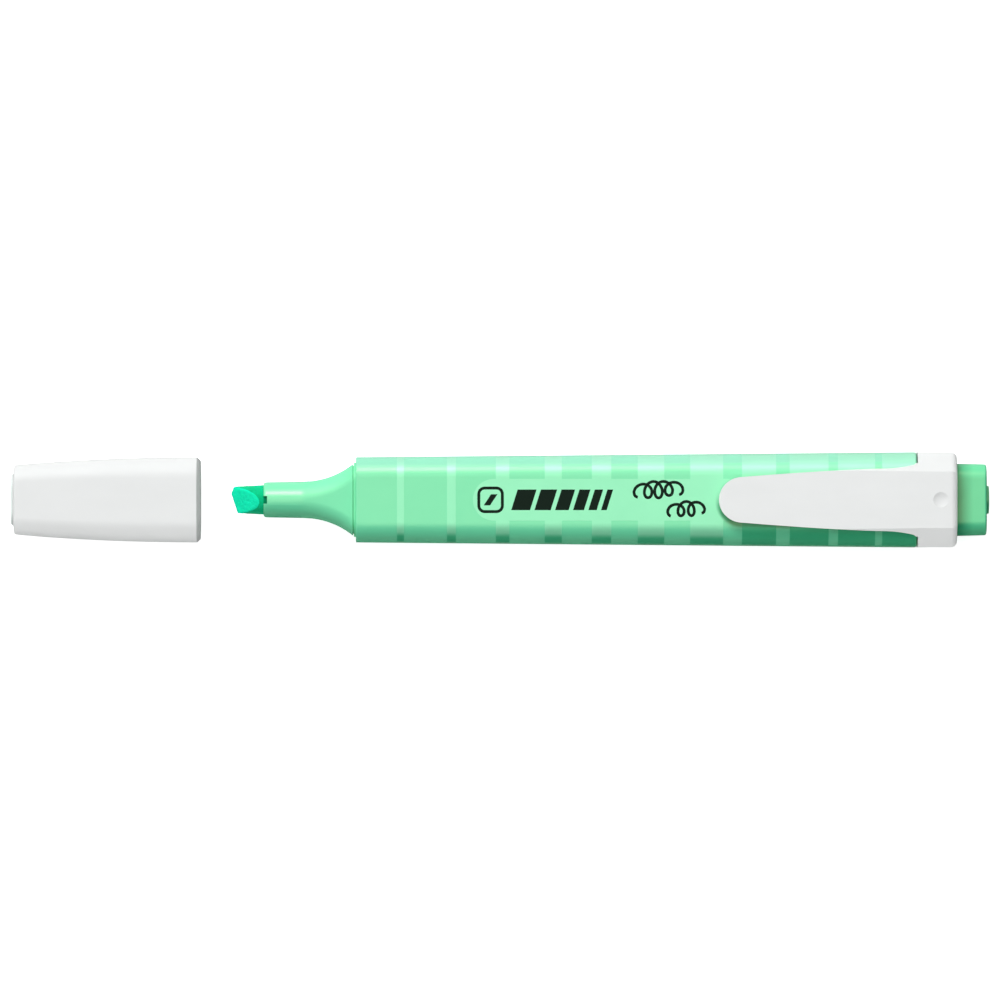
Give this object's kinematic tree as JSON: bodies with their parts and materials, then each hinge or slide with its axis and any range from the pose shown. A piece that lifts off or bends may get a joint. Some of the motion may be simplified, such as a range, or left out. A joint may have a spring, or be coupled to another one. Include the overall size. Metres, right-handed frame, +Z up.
{
  "type": "highlighter pen",
  "caption": "Flat pocket highlighter with a chisel felt nib, printed mint barrel, springy white clip on a rear collar, and a white cap pulled off and lying in line.",
  "frame": {"origin": "under the middle of the pen and its cap laid in line, on the surface that the pen's flat back lies on", "axes": "+X along the pen from the nib to the end plug, +Y across it, +Z up through the clip"},
  "size_m": [0.1664, 0.0162, 0.0134],
  "materials": {
    "white_plastic": "moulded off-white polypropylene, satin gloss",
    "natural_plastic": "uncoloured polypropylene, milky",
    "mint_plastic": "moulded pastel mint polypropylene, satin gloss, with a lighter check print",
    "nib_felt": "sintered porous fibre soaked in mint ink",
    "ink_fibre": "fibre bundle soaked in mint ink",
    "clear_film": "thin clear film"
  },
  "bodies": {
    "pen": {"nib": "nib_felt", "nose_section": "mint_plastic", "barrel": "mint_plastic", "ink_reservoir": "ink_fibre", "reservoir_wrap": "clear_film", "clip_collar": "white_plastic", "end_plug": "mint_plastic"},
    "cap": {"cap_shell": "white_plastic", "cap_liner": "natural_plastic"},
    "clip": {"clip_tongue": "white_plastic"}
  },
  "joints": [
    {"name": "cap_slide", "type": "slide", "parent": "pen", "child": "cap", "axis": [1, 0, 0], "range_m": [0, 0.0264]},
    {"name": "clip_flex", "type": "hinge", "parent": "pen", "child": "clip", "pos_m": [0.0708, 0, 0.01265], "axis": [0, 1, 0], "range_deg": [0, 5], "stiffness_Nm_per_rad": 0.6}
  ]
}
